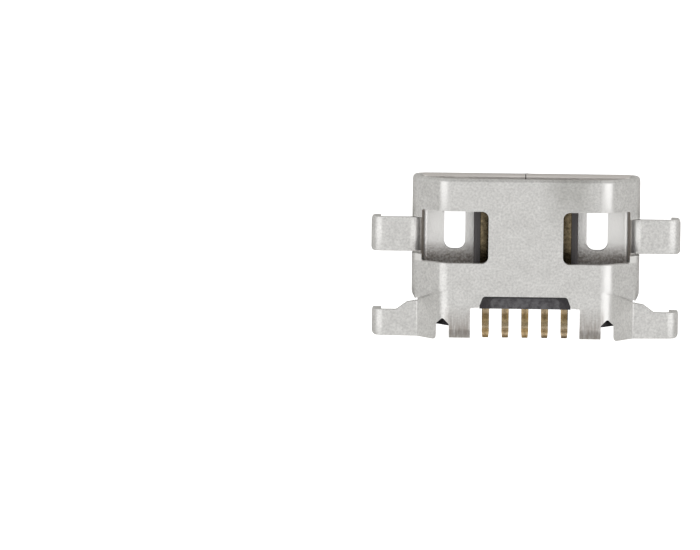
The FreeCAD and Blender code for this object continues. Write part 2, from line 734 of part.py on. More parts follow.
def half_base_section():
    """Right half of the base inside the tube, clear of its walls."""
    gap = "clearance"
    return [
        ("0", f"sheet_thickness + {gap}"),
        (f"{INSIDE_HALF} - {gap}", f"sheet_thickness + {gap}", "bend_radius"),
        (f"{INSIDE_HALF} - {gap}", f"{INNER_SHOULDER} - {gap} / 2", "bend_radius"),
        (f"{NARROW_HALF} - {gap} / 2", f"{CEILING} - {gap}", "bend_radius"),
        ("0", f"{CEILING} - {gap}"),
    ]


def half_rear_section(floor):
    """Right half of the base behind the tube, under the strap's slope."""
    gap = "2 * clearance"
    return [
        ("0", floor),
        (f"{CREASE_HALF} - {STRAP_SHIFT} - {gap}", floor, "bend_radius"),
        (f"{CREASE_HALF} - {STRAP_SHIFT} - {gap}", "seat_height"),
        (f"{NARROW_OUTER_HALF} - {STRAP_SHIFT} - {gap}", f"{CEILING} - clearance"),
        ("0", f"{CEILING} - clearance"),
    ]


def build_base(body):
    """The block that fills the tube behind the tongue, and its bar in the wide plate's notch."""
    pad_rearwards(body, "base_front", half_base_section(), BASE_START, WALL_RUN_START)
    floor = "(sheet_thickness + clearance)"
    pad_rearwards(body, "base_rear", half_rear_section(floor), WALL_RUN_START, BASE_END)
    pad_upwards(body, "boss", [
        ("0", BASE_START),
        ("bar_width / 2", BASE_START),
        ("bar_width / 2", BAR_END),
        ("rear_boss_width / 2", BAR_END),
        ("rear_boss_width / 2", REAR_BOSS_END),
        ("0", REAR_BOSS_END),
    ], floor, f"{CEILING} - clearance - {floor}")
    pad_upwards(body, "bar", [
        ("0", BAR_START),
        ("bar_width / 2", BAR_START, "bar_corner_radius"),
        ("bar_width / 2", BAR_END),
        ("0", BAR_END),
    ], "bar_sink", f"{floor} - bar_sink")
    cut_across(body, "bar_bevel", [
        (f"{BAR_END} - 2 * bar_chamfer", "bar_sink - bar_chamfer"),
        (f"{BAR_END} + bar_chamfer", "bar_sink - bar_chamfer"),
        (f"{BAR_END} + bar_chamfer", "bar_sink + 2 * bar_chamfer"),
    ])


def build_blocks(body):
    """The block at each side of the contacts, behind a groove."""
    top = f"({CEILING} - clearance)"
    section = half_rear_section("seat_height")
    pad_rearwards(body, "block", [
        ("block_gap / 2", "seat_height"),
        section[1][:2],
        section[3],
        ("block_gap / 2", top),
    ], BASE_END, BLOCK_END)
    cut_upwards(body, "block_groove", [[
        ("bar_width / 2", BASE_END),
        (OUTSIDE_HALF, BASE_END),
        (OUTSIDE_HALF, BLOCK_START),
        ("bar_width / 2", BLOCK_START),
    ]], "0", "seat_height + groove_height")
    side = section[1][0]
    cut_upwards(body, "block_corner", [[
        (f"{side} + {OVERRUN}", f"{BLOCK_END} - 2 * block_corner_radius"),
        (side, f"{BLOCK_END} - 2 * block_corner_radius"),
        (side, BLOCK_END, "block_corner_radius"),
        (f"{side} - 2 * block_corner_radius", BLOCK_END),
        (f"{side} - 2 * block_corner_radius", f"{BLOCK_END} + {OVERRUN}"),
        (f"{side} + {OVERRUN}", f"{BLOCK_END} + {OVERRUN}"),
    ]], "0")


def build_tongue(body):
    """The tongue that carries the contacts, with bevelled long edges and a blunt nose."""
    top = "(tongue_floor + tongue_thickness)"
    half = "(tongue_width / 2)"
    pad_rearwards(body, "tongue", [
        ("0", "tongue_floor"),
        (f"{half} - tongue_chamfer", "tongue_floor"),
        (half, "tongue_floor + tongue_chamfer"),
        (half, f"{top} - tongue_chamfer"),
        (f"{half} - tongue_chamfer", top),
        ("0", top),
    ], "tongue_start", f"{BASE_START} + clearance")
    for name, face, out in (("nose_top", top, 1), ("nose_floor", "tongue_floor", -1)):
        cut_across(body, name, [
            ("tongue_start - tongue_nose", f"{face} - {out} * 2 * tongue_nose"),
            ("tongue_start + 2 * tongue_nose", f"{face} + {out} * tongue_nose"),
            ("tongue_start - tongue_nose", f"{face} + {out} * tongue_nose"),
        ])


def cut_channels(body):
    """One channel for each contact, wide along the tongue and narrow through the base."""
    for name, width, start, end in (
            ("blade_channel", "contact_width", "contact_start", CONTACT_SHOULDER),
            ("tail_channel", "tail_width", CONTACT_SHOULDER, f"{REAR_BOSS_END} + {OVERRUN}")):
        half = f"({width} / 2 + clearance / 2)"
        middle = "(contact_pitch * (contact_count - 1) / 2)"
        sketch = new_sketch(body, f"{name}_section", "XZ_Plane", f"clearance - {start}")
        height = f"{CONTACT_FLOOR} + contact_thickness + clearance / 2"
        draw_line(sketch, [
            (f"-{middle} - {half}", CONTACT_FLOOR),
            (f"-{middle} + {half}", CONTACT_FLOOR),
            (f"-{middle} + {half}", height),
            (f"-{middle} - {half}", height),
        ])
        length = f"{end} + clearance - ({start} - clearance)"
        channel = extrude(body, "Pocket", name, sketch, length)
        row_of_channels = body.newObject("PartDesign::LinearPattern", f"{name}s")
        row_of_channels.Originals = [channel]
        axis = [feature for feature in body.Origin.OriginFeatures if feature.Role == "X_Axis"]
        row_of_channels.Direction = (axis[0], [""])
        bind(row_of_channels, "Length", "contact_pitch * (contact_count - 1)")
        bind(row_of_channels, "Occurrences", "contact_count")
        body.Tip = row_of_channels
        doc.recompute()


def build_insulator():
    """The one moulded insulator: base, tongue, bar and side blocks."""
    body = new_body("insulator")
    build_base(body)
    build_blocks(body)
    build_tongue(body)
    cut_upwards(body, "top_recess", [[
        ("0", RECESS_START),
        ("recess_width / 2", RECESS_START, "bar_corner_radius"),
        ("recess_width / 2", f"{REAR_BOSS_END} + {OVERRUN}"),
        ("0", f"{REAR_BOSS_END} + {OVERRUN}"),
    ]], f"{CEILING} - clearance - recess_depth")
    mirror_half(body)
    cut_channels(body)
    return body


def build_contact(number):
    """One stamped contact: a blade on the tongue, and a tail that steps down to the board at 45 degrees."""
    body = new_body(f"contact_{number + 1}")
    bind(body, "Placement.Base.x", f"({number} - (contact_count - 1) / 2) * contact_pitch")
    top = f"({CONTACT_FLOOR} + contact_thickness)"
    drop = f"({CONTACT_FLOOR} - seat_height)"
    bow = "(contact_thickness * tan(22.5))"
    foot = f"({TAIL_BEND} + {drop})"
    side = new_sketch(body, "tail_side", "YZ_Plane")
    draw_line(side, [
        (f"{CONTACT_SHOULDER} - contact_width", CONTACT_FLOOR),
        (TAIL_BEND, CONTACT_FLOOR, "tail_radius"),
        (foot, "seat_height", "tail_radius + contact_thickness"),
        ("overall_length", "seat_height"),
        ("overall_length", "seat_height + contact_thickness"),
        (f"{foot} + {bow}", "seat_height + contact_thickness", "tail_radius"),
        (f"{TAIL_BEND} + {bow}", top, "tail_radius + contact_thickness"),
        (f"{CONTACT_SHOULDER} - contact_width", top),
    ])
    extrude(body, "Pad", "tail", side, "tail_width", both=True)
    blade = new_sketch(body, "blade_side", "YZ_Plane")
    draw_line(blade, [
        ("contact_start", CONTACT_FLOOR),
        (CONTACT_SHOULDER, CONTACT_FLOOR),
        (CONTACT_SHOULDER, top),
        ("contact_start", top, "contact_thickness / 2"),
    ])
    extrude(body, "Pad", "blade", blade, "contact_width", both=True)
    loops = []
    for side in (1, -1):
        loops.append([
            (f"{side} * tail_width / 2", "overall_length - tail_taper_length"),
            (f"{side} * tail_tip_width / 2", "overall_length"),
            (f"{side} * tail_tip_width / 2", f"overall_length + {OVERRUN}"),
            (f"{side} * tail_width", f"overall_length + {OVERRUN}"),
            (f"{side} * tail_width", "overall_length - tail_taper_length"),
        ])
    cut_upwards(body, "tail_end", loops, "0")
    return body


bodies = [build_shell(), build_insulator()]
for contact in range(int(measure("contact_count"))):
    bodies.append(build_contact(contact))
doc.recompute()

for item in doc.Objects:
    broken = [word for word in item.State if word in ("Invalid", "Error")]
    if broken:
        raise RuntimeError(f"{item.Name} failed: {item.getStatusString()}")
os.makedirs("parts", exist_ok=True)
for body in bodies:
    if body.Shape.isNull() or not body.Shape.isValid() or len(body.Shape.Solids) != 1:
        raise RuntimeError(f"{body.Label} has no single valid solid")
for body in bodies:
    body.Shape.exportStep(f"parts/{body.Label}.step")
    box = body.Shape.BoundBox
    print(body.Label, round(body.Shape.Volume, 4), box)
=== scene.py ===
import math

import bmesh
import bpy
from mathutils import Matrix, Vector


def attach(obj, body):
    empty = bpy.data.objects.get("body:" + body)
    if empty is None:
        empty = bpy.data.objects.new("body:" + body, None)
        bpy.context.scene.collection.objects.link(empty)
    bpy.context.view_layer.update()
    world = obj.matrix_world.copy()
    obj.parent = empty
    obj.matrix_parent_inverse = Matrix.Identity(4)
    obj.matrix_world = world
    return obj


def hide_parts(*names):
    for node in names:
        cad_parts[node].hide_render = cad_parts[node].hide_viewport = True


# A five-contact charging port: one folded sheet, one moulded insulator, five gilded contacts.
# Sizes in the dictionaries are in millimetres and degrees, and mm turns them into metres.
mm = 0.001

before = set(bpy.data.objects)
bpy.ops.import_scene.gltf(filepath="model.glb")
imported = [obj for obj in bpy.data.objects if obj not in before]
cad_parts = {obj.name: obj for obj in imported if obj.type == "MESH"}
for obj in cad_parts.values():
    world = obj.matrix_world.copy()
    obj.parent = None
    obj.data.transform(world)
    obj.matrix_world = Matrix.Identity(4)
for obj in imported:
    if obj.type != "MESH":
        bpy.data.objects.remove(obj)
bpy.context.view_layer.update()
print("frame loaded:", sorted(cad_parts))


# Short ways to add shader nodes, groups and materials

def addNode(tree, kind, place, **values):
    node = tree.nodes.new(kind)
    node.location = place
    for name, value in values.items():
        if hasattr(node, name):
            setattr(node, name, value)
        else:
            node.inputs[name].default_value = value
    return node


def newGroup(name, inputs, outputs):
    tree = bpy.data.node_groups.new(name, "ShaderNodeTree")
    for label, start in inputs.items():
        socket = tree.interface.new_socket(label, in_out="INPUT", socket_type="NodeSocketFloat")
        socket.default_value = start
    for label in outputs:
        tree.interface.new_socket(label, in_out="OUTPUT", socket_type="NodeSocketFloat")
    return tree, tree.nodes.new("NodeGroupInput"), tree.nodes.new("NodeGroupOutput")


def useGroup(tree, group, place, values=None):
    node = addNode(tree, "ShaderNodeGroup", place, node_tree=group)
    for label, value in (values or {}).items():
        node.inputs[label].default_value = value
    return node


def newMaterial(name):
    material = bpy.data.materials.new(name)
    material.use_nodes = True
    tree = material.node_tree
    return material, tree, tree.nodes["Principled BSDF"]


def setOrLink(tree, socket, value):
    if isinstance(value, bpy.types.NodeSocket):
        tree.links.new(value, socket)
    else:
        socket.default_value = value


def combine(tree, place, operation, first, second=None):
    node = addNode(tree, "ShaderNodeMath", place, operation=operation)
    setOrLink(tree, node.inputs[0], first)
    if second is not None:
        setOrLink(tree, node.inputs[1], second)
    return node.outputs[0]


def rangeOf(tree, place, source, low, high, toLow, toHigh):
    node = addNode(tree, "ShaderNodeMapRange", place, clamp=True)
    tree.links.new(source, node.inputs["Value"])
    for name, value in (("From Min", low), ("From Max", high), ("To Min", toLow), ("To Max", toHigh)):
        node.inputs[name].default_value = value
    return node.outputs["Result"]


def mixColours(tree, place, first, second, factor, blend="MIX"):
    node = addNode(tree, "ShaderNodeMix", place, data_type="RGBA", blend_type=blend)
    for name, value in (("Factor", factor), ("A", first), ("B", second)):
        socket = [item for item in node.inputs if item.name == name and item.enabled][0]
        setOrLink(tree, socket, value)
    return [item for item in node.outputs if item.enabled][0]


# Each colour is laid over the ones before it, where its mask says
def layColours(tree, place, colour, layers):
    x, y = place
    for step, (top, mask, blend) in enumerate(layers):
        colour = mixColours(tree, (x + 180 * step, y), colour, top, mask, blend)
    return colour


# Colours along a line, one for each place in the list
def bandColours(tree, place, source, lightAndShadeBands):
    low, high = lightAndShadeBands[0][0], lightAndShadeBands[-1][0]
    share = rangeOf(tree, place, source, low, high, 0, 1)
    ramp = addNode(tree, "ShaderNodeValToRGB", (place[0] + 180, place[1]))
    tree.links.new(share, ramp.inputs["Fac"])
    stops = ramp.color_ramp.elements
    stops[0].color = lightAndShadeBands[0][1]
    stops[1].color = lightAndShadeBands[-1][1]
    for where, colour in lightAndShadeBands[1:-1]:
        stops.new((where - low) / (high - low)).color = colour
    return ramp.outputs["Color"]


grainLook = {
    "details": {"Cloud Size": 3.0, "Grain Size": 4.0},
    "roughness": 0.6,
    "cloudShare": 0.3,
    # nearly all of the grain's values lie between these two
    "spread": (0.3, 0.7),
}


# The mottle of rolled and plated metal: clouds of two sizes, for colour, gloss and bump
def buildPlateGrain(look):
    tree, start, end = newGroup("plateGrain", {"Cloud Size": 0.3, "Grain Size": 0.08},
                                ("Clouds", "Grain", "Height"))
    place = addNode(tree, "ShaderNodeTexCoord", (-900, 0))
    noises = {}
    for row, (label, detail) in enumerate(look["details"].items()):
        y = 150 - 300 * row
        scale = combine(tree, (-700, y - 80), "DIVIDE", 1 / mm, start.outputs[label])
        noise = addNode(tree, "ShaderNodeTexNoise", (-500, y),
                        Detail=detail, Roughness=look["roughness"])
        tree.links.new(scale, noise.inputs["Scale"])
        tree.links.new(place.outputs["Object"], noise.inputs["Vector"])
        noises[label] = noise.outputs["Fac"]
    height = addNode(tree, "ShaderNodeMix", (-200, 0), data_type="FLOAT", Factor=look["cloudShare"])
    tree.links.new(noises["Grain Size"], height.inputs["A"])
    tree.links.new(noises["Cloud Size"], height.inputs["B"])
    tree.links.new(noises["Cloud Size"], end.inputs["Clouds"])
    tree.links.new(noises["Grain Size"], end.inputs["Grain"])
    tree.links.new(height.outputs["Result"], end.inputs["Height"])
    return tree


shadeAndHighlightLook = {
    "cornerSamples": 8,
    "edgeSamples": 4,
    # an edge is fully bright where the two normals' product has fallen to this
    "edgeTurn": 0.8,
}


# Painted shade in corners and painted highlights on edges, both as masks from 0 to 1
def buildShadeAndHighlight(look):
    tree, start, end = newGroup("edgeAndCorner", {"Corner Reach": 0.2, "Edge Reach": 0.03},
                                ("Corner", "Edge"))
    cornerReach = combine(tree, (-700, 150), "MULTIPLY", start.outputs["Corner Reach"], mm)
    shade = addNode(tree, "ShaderNodeAmbientOcclusion", (-450, 150), samples=look["cornerSamples"])
    tree.links.new(cornerReach, shade.inputs["Distance"])
    corner = combine(tree, (-200, 150), "SUBTRACT", 1.0, shade.outputs["AO"])
    tree.links.new(corner, end.inputs["Corner"])
    # an edge is where a rounded normal turns away from the plain one
    edgeReach = combine(tree, (-700, -150), "MULTIPLY", start.outputs["Edge Reach"], mm)
    rounded = addNode(tree, "ShaderNodeBevel", (-450, -150), samples=look["edgeSamples"])
    tree.links.new(edgeReach, rounded.inputs["Radius"])
    plain = addNode(tree, "ShaderNodeNewGeometry", (-450, -300))
    alike = addNode(tree, "ShaderNodeVectorMath", (-200, -150), operation="DOT_PRODUCT")
    tree.links.new(rounded.outputs["Normal"], alike.inputs[0])
    tree.links.new(plain.outputs["Normal"], alike.inputs[1])
    edge = rangeOf(tree, (0, -150), alike.outputs["Value"], 1.0, look["edgeTurn"], 0, 1)
    tree.links.new(edge, end.inputs["Edge"])
    return tree


# Millimetres along the piece's own axes. Side is the same on both halves.
def buildPlaceRuler():
    tree, _, end = newGroup("placeRuler", {}, ("Across", "Side", "Along", "Height"))
    place = addNode(tree, "ShaderNodeTexCoord", (-700, 0))
    parts = addNode(tree, "ShaderNodeSeparateXYZ", (-500, 0))
    tree.links.new(place.outputs["Object"], parts.inputs[0])
    for row, (axis, label) in enumerate((("X", "Across"), ("Y", "Along"), ("Z", "Height"))):
        size = combine(tree, (-300, -150 * row), "DIVIDE", parts.outputs[axis], mm)
        tree.links.new(size, end.inputs[label])
        if label == "Across":
            tree.links.new(combine(tree, (-100, 0), "ABSOLUTE", size), end.inputs["Side"])
    return tree


# A soft mask between two places. None leaves that end open.
def within(tree, place, source, low, high, soft):
    x, y = place
    sides = []
    if low is not None:
        sides.append(rangeOf(tree, (x, y), source, low - soft, low + soft, 0, 1))
    if high is not None:
        sides.append(rangeOf(tree, (x, y - 60), source, high - soft, high + soft, 1, 0))
    return sides[0] if len(sides) == 1 else combine(tree, (x + 180, y), "MULTIPLY", *sides)


# A mask for a place on the piece, from its span along each of the ruler's directions
def maskOf(tree, place, ruler, spans):
    x, y = place
    mask = None
    for row, (label, span) in enumerate(spans.items()):
        here = within(tree, (x, y - 130 * row), ruler.outputs[label], *span)
        both = (x + 360, y - 130 * row)
        mask = here if mask is None else combine(tree, both, "MULTIPLY", mask, here)
    return mask


# The masks of all the places in a dictionary, by their names
def masksOf(tree, place, ruler, places):
    x, y = place
    return {name: maskOf(tree, (x, y - 400 * row), ruler, spans)
            for row, (name, spans) in enumerate(places.items())}


# The finished colour, with gloss and bump from the grain
def finishSurface(tree, shader, grain, look, colour):
    tree.links.new(colour, shader.inputs["Base Color"])
    gloss = rangeOf(tree, (-600, -50), grain.outputs["Grain"],
                    *grainLook["spread"], *look["gloss"])
    tree.links.new(gloss, shader.inputs["Roughness"])
    bump = addNode(tree, "ShaderNodeBump", (-250, -400),
                   Strength=look["bumpStrength"], Distance=look["bumpDepth"] * mm)
    tree.links.new(grain.outputs["Height"], bump.inputs["Height"])
    tree.links.new(bump.outputs["Normal"], shader.inputs["Normal"])


plateGrain = buildPlateGrain(grainLook)
edgeAndCorner = buildShadeAndHighlight(shadeAndHighlightLook)
placeRuler = buildPlaceRuler()

# Colours are linear, with alpha
sheetLook = {
    "light": (0.755, 0.751, 0.738, 1),
    "dark": (0.695, 0.691, 0.678, 1),
    "grainDark": (0.84, 0.84, 0.84, 1),
    "grainLight": (1.16, 1.16, 1.16, 1),
    "cornerShade": (0.30, 0.26, 0.22, 1),
    "stainAndShade": (0.37, 0.335, 0.31, 1),
    "mouthTint": (0.80, 0.765, 0.735, 1),
    "innerShine": (0.97, 0.965, 0.95, 1),
    "plateShade": (0.76, 0.76, 0.75, 1),
    "bendHighlight": (0.875, 0.87, 0.86, 1),
    "wallTone": (0.46, 0.41, 0.365, 1),
    "edgeHighlight": (0.95, 0.945, 0.93, 1),
    "grain": {"Cloud Size": 0.5, "Grain Size": 0.075},
    "cloudSpread": (0.35, 0.65),
    "shadeAndHighlight": {"Corner Reach": 0.25, "Edge Reach": 0.03},
    "cornerSpread": (0.35, 1.0),
    "cornerShare": 0.25,
    "edgeShare": 0.7,
    "strongBend": 0.8,
    "weakBend": 0.36,
    # patches and streaks never fade out fully
    "patchSpread": (0.38, 0.6),
    "patchShare": (0.55, 1),
    "streakSize": (0.06, 0.5),
    "streakDetail": 3.0,
    "streakSpread": (0.35, 0.62),
    "streakShare": (0.45, 1),
    "gloss": (0.30, 0.40),
    "metallic": 0.9,
    "wallMetallic": 0.3,
    "bumpStrength": 0.6,
    "bumpDepth": 0.02,
}

# Spans in mm from the ruler: lowest, highest and how soft the ends are
sheetPlaces = {
    "innerFace": {"Height": (0.3, 0.45, 0.04)},
    "innerMouth": {"Along": (None, -2.4, 0.1)},
    "innerRear": {"Along": (-0.18, 0.6, 0.25)},
    "wingBend": {
        "Side": (3.42, 3.66, 0.03), "Along": (-1.35, 0.1, 0.03), "Height": (0.8, None, 0.05)},
    # painted shade: a darker patch on the front of the narrow plate, on one side
    "plateShade": {
        "Across": (-2.15, -0.8, 0.35), "Along": (None, -1.4, 0.7), "Height": (2.35, None, 0.05)},
    "strongBend": {"Across": (-2.86, -2.48, 0.05), "Height": (2.175, None, 0.075)},
    "weakBend": {
        "Across": (2.5, 2.84, 0.05), "Along": (None, -0.8, 0.4), "Height": (2.175, None, 0.075)},
    "tabs": {"Side": (1.5, 2.62, 0.03), "Along": (1.925, None, 0.425)},
    "windowWall": {
        "Side": (3.37, 3.48, 0.02), "Along": (-1.65, 0.12, 0.02), "Height": (0.4, 1.35, 0.04)},
}


# Thin streaks along the piece, where a bend has rubbed against its tool
def streaks(tree, place, look):
    x, y = place
    width, length = look["streakSize"]
    spot = addNode(tree, "ShaderNodeTexCoord", (x, y))
    squeeze = addNode(tree, "ShaderNodeMapping", (x + 150, y))
    squeeze.inputs["Scale"].default_value = (1 / (width * mm), 1 / (length * mm), 1 / (length * mm))
    noise = addNode(tree, "ShaderNodeTexNoise", (x + 300, y), Scale=1.0, Detail=look["streakDetail"])
    tree.links.new(spot.outputs["Object"], squeeze.inputs["Vector"])
    tree.links.new(squeeze.outputs["Vector"], noise.inputs["Vector"])
    return rangeOf(tree, (x + 450, y), noise.outputs["Fac"],
                   *look["streakSpread"], *look["streakShare"])


def buildSheetMetal(look, places):
    material, tree, shader = newMaterial("platedSheet")
    grain = useGroup(tree, plateGrain, (-2600, 0), look["grain"])
    shadeAndHighlight = useGroup(tree, edgeAndCorner, (-2600, -300), look["shadeAndHighlight"])
    ruler = useGroup(tree, placeRuler, (-3000, -600))
    masks = masksOf(tree, (-2700, -600), ruler, places)
    clouds = rangeOf(tree, (-2400, 200), grain.outputs["Clouds"], *look["cloudSpread"], 0, 1)
    body = mixColours(tree, (-2200, 200), look["dark"], look["light"], clouds)
    speck = rangeOf(tree, (-2400, 0), grain.outputs["Grain"], *grainLook["spread"], 0, 1)
    tint = mixColours(tree, (-2200, 0), look["grainDark"], look["grainLight"], speck)
    # painted light: the wide plate's inner face is painted bright in the windows, and so are the
    # front wings' bends
    inner = masks["innerFace"]
    insideLight = combine(tree, (-2000, -600), "MAXIMUM", inner, masks["wingBend"])
    mouth = combine(tree, (-2000, -800), "MULTIPLY", inner, masks["innerMouth"])
    # painted highlights along the long bends, one of them brighter than the other
    strong = combine(tree, (-2000, -1000), "MULTIPLY", masks["strongBend"], look["strongBend"])
    weak = combine(tree, (-2000, -1150), "MULTIPLY", masks["weakBend"], look["weakBend"])
    bendLight = combine(tree, (-1850, -1000), "MAXIMUM", strong, weak)
    # brown stains on the floor behind the latch slots; on the tabs' bends streaks and painted shade,
    # darker towards their ends
    rubbed = streaks(tree, (-2700, -4200), look)
    tabStreaksAndShade = combine(tree, (-2000, -1300), "MULTIPLY", masks["tabs"], rubbed)
    floors = combine(tree, (-2000, -1450), "MULTIPLY", inner, masks["innerRear"])
    patches = rangeOf(tree, (-2000, -1600), grain.outputs["Grain"],
                      *look["patchSpread"], *look["patchShare"])
    onFloors = combine(tree, (-1850, -1450), "MULTIPLY", floors, patches)
    stainAndShadeMask = combine(tree, (-1700, -1300), "MAXIMUM", tabStreaksAndShade, onFloors)
    # painted shade: the sheet is darkened in corners and hollows, from the occlusion mask
    corner = rangeOf(tree, (-2400, -200), shadeAndHighlight.outputs["Corner"],
                     *look["cornerSpread"], 0, look["cornerShare"])
    # painted highlights along the sheet's edges
    edge = combine(tree, (-2400, -400), "MULTIPLY", shadeAndHighlight.outputs["Edge"], look["edgeShare"])
    colour = layColours(tree, (-1900, 350), body, [
        (tint, 1.0, "MULTIPLY"),
        (look["innerShine"], insideLight, "MIX"),
        # painted shade on the front of the narrow plate
        (look["plateShade"], masks["plateShade"], "MULTIPLY"),
        (look["bendHighlight"], bendLight, "MIX"),
        (look["cornerShade"], corner, "MIX"),
        (look["mouthTint"], mouth, "MIX"),
        (look["stainAndShade"], stainAndShadeMask, "MIX"),
        (look["wallTone"], masks["windowWall"], "MIX"),
        (look["edgeHighlight"], edge, "MIX"),
    ])
    # the window walls are less metallic as well
    metal = rangeOf(tree, (-500, -1500), masks["windowWall"], 0, 1,
                    look["metallic"], look["wallMetallic"])
    tree.links.new(metal, shader.inputs["Metallic"])
    finishSurface(tree, shader, grain, look, colour)
    return material


plasticLook = {
    "base": (0.022, 0.019, 0.024, 1),
    "pale": (0.055, 0.051, 0.055, 1),
    "recess": (0.125, 0.122, 0.13, 1),
    "tongue": (0.085, 0.078, 0.08, 1),
    "edgeHighlight": (0.13, 0.13, 0.14, 1),
    "grain": {"Cloud Size": 0.16, "Grain Size": 0.06},
    "cloudSpread": (0.4, 0.7),
    "shadeAndHighlight": {"Edge Reach": 0.03},
    "edgeShare": 0.6,
    "scuffSpread": (0.35, 0.6),
    "scuffShare": (0.25, 1),
    "gloss": (0.38, 0.6),
    "bumpStrength": 0.35,
    "bumpDepth": 0.01,
}
plasticPlaces = {
    "recess": {"Side": (None, 1.14, 0.03), "Height": (2.15, 2.21, 0.01)},
    "tongue": {"Along": (None, 0.7, 0.1), "Side": (1.2, 2.0, 0.05)},
}


def buildPlastic(look, places):
    material, tree, shader = newMaterial("insulatorPlastic")
    grain = useGroup(tree, plateGrain, (-1000, 0), look["grain"])
    shadeAndHighlight = useGroup(tree, edgeAndCorner, (-1000, -300), look["shadeAndHighlight"])
    ruler = useGroup(tree, placeRuler, (-1500, -600))
    masks = masksOf(tree, (-1200, -600), ruler, places)
    clouds = rangeOf(tree, (-800, 200), grain.outputs["Clouds"], *look["cloudSpread"], 0, 1)
    body = mixColours(tree, (-800, 400), look["base"], look["pale"], clouds)
    # the shallow recess on the rear boss is scuffed paler than what is round it
    scuffs = rangeOf(tree, (-700, -850), grain.outputs["Clouds"],
                     *look["scuffSpread"], *look["scuffShare"])
    scuffed = combine(tree, (-500, -600), "MULTIPLY", masks["recess"], scuffs)
    # painted highlights along the insulator's edges
    edge = combine(tree, (-800, -350), "MULTIPLY", shadeAndHighlight.outputs["Edge"], look["edgeShare"])
    colour = layColours(tree, (-600, 300), body, [
        (look["tongue"], masks["tongue"], "MIX"),
        (look["recess"], scuffed, "MIX"),
        (look["edgeHighlight"], edge, "MIX"),
    ])
    finishSurface(tree, shader, grain, look, colour)
    return material


goldLook = {
    # the blades inside the shell are painted dark, as painted shade
    "bladeDark": (0.078, 0.062, 0.037, 1),
    "bladeLight": (0.19, 0.150, 0.092, 1),
    # painted highlights and shades of a tail's bends, from the insulator to the tip
    "lightAndShadeBands": [
        (1.70, (0.46, 0.37, 0.25, 1)),
        (1.80, (0.42, 0.33, 0.22, 1)),
        (1.88, (0.17, 0.125, 0.07, 1)),
        (2.01, (0.17, 0.125, 0.07, 1)),
        (2.10, (0.38, 0.30, 0.18, 1)),
        (2.25, (0.42, 0.34, 0.22, 1)),
        (2.33, (0.80, 0.67, 0.48, 1)),
        (2.39, (0.36, 0.27, 0.16, 1)),
        (2.46, (0.24, 0.175, 0.10, 1)),
        (2.55, (0.58, 0.46, 0.31, 1)),
        (2.63, (0.18, 0.13, 0.08, 1)),
    ],
    # some tails are more golden than others
    "golden": (0.50, 0.33, 0.12, 1),
    "goldenPatch": {"Cloud Size": 0.8},
    "goldenSpread": (0.4, 0.65),
    "goldenShare": 0.4,
    "underside": (0.62, 0.45, 0.21, 1),
    # from full painted light to none, by the normal's height
    "undersideTilt": (-0.95, -0.8),
    "cornerShade": (0.25, 0.17, 0.08, 1),
    "grain": {"Cloud Size": 0.16, "Grain Size": 0.06},
    "cloudSpread": (0.35, 0.65),
    "mottle": (0.72, 1.25),
    "shadeAndHighlight": {"Corner Reach": 0.3},
    "cornerSpread": (0.3, 0.9),
    "cornerShare": 0.5,
    "gloss": (0.22, 0.4),
    "bumpStrength": 0.25,
    "bumpDepth": 0.01,
}
goldPlaces = {
    "tail": {"Along": (1.0, None, 0.1)},
}


def buildGold(look, places):
    material, tree, shader = newMaterial("gildedContact")
    grain = useGroup(tree, plateGrain, (-1400, 0), look["grain"])
    shadeAndHighlight = useGroup(tree, edgeAndCorner, (-1400, -300), look["shadeAndHighlight"])
    ruler = useGroup(tree, placeRuler, (-1500, -600))
    masks = masksOf(tree, (-1200, -600), ruler, places)
    patch = useGroup(tree, plateGrain, (-1600, 300), look["goldenPatch"])
    clouds = rangeOf(tree, (-1200, 200), grain.outputs["Clouds"], *look["cloudSpread"], 0, 1)
    # dark blades: painted shade inside the shell
    blade = mixColours(tree, (-1000, 300), look["bladeDark"], look["bladeLight"], clouds)
    # painted highlights and shades along the tails' bends
    tail = bandColours(tree, (-1200, 0), ruler.outputs["Along"], look["lightAndShadeBands"])
    golden = rangeOf(tree, (-1400, 400), patch.outputs["Clouds"],
                     *look["goldenSpread"], 0, look["goldenShare"])
    warmer = mixColours(tree, (-900, 50), tail, look["golden"], golden)
    # painted light: faces that look down are painted brighter gold
    facing = addNode(tree, "ShaderNodeNewGeometry", (-1400, -900))
    tilt = addNode(tree, "ShaderNodeSeparateXYZ", (-1200, -900))
    tree.links.new(facing.outputs["Normal"], tilt.inputs[0])
    below = rangeOf(tree, (-1000, -900), tilt.outputs["Z"], *look["undersideTilt"], 1, 0)
    mottle = rangeOf(tree, (-1000, -100), grain.outputs["Grain"],
                     *grainLook["spread"], *look["mottle"])
    # painted shade: the contacts are darkened in corners and hollows, from the occlusion mask
    corner = rangeOf(tree, (-800, -100), shadeAndHighlight.outputs["Corner"],
                     *look["cornerSpread"], 0, look["cornerShare"])
    colour = layColours(tree, (-800, 200), blade, [
        (warmer, masks["tail"], "MIX"),
        (look["underside"], below, "MIX"),
        (mottle, 1.0, "MULTIPLY"),
        (look["cornerShade"], corner, "MIX"),
    ])
    shader.inputs["Metallic"].default_value = 1.0
    finishSurface(tree, shader, grain, look, colour)
    return material


sheetMetal = buildSheetMetal(sheetLook, sheetPlaces)
plastic = buildPlastic(plasticLook, plasticPlaces)
gold = buildGold(goldLook, goldPlaces)
print("materials built:", [item.name for item in (sheetMetal, plastic, gold)])


# The shell and the insulator are merged copies of the CAD solids with eased edges

def linkObject(name, mesh, material):
    piece = bpy.data.objects.new(name, mesh)
    bpy.context.scene.collection.objects.link(piece)
    mesh.materials.clear()
    mesh.materials.append(material)
    return piece


def isInside(point, box):
    spot = (abs(point.x) / mm, point.y / mm, point.z / mm)
    return all(low < value < high for value, (low, high) in zip(spot, box))


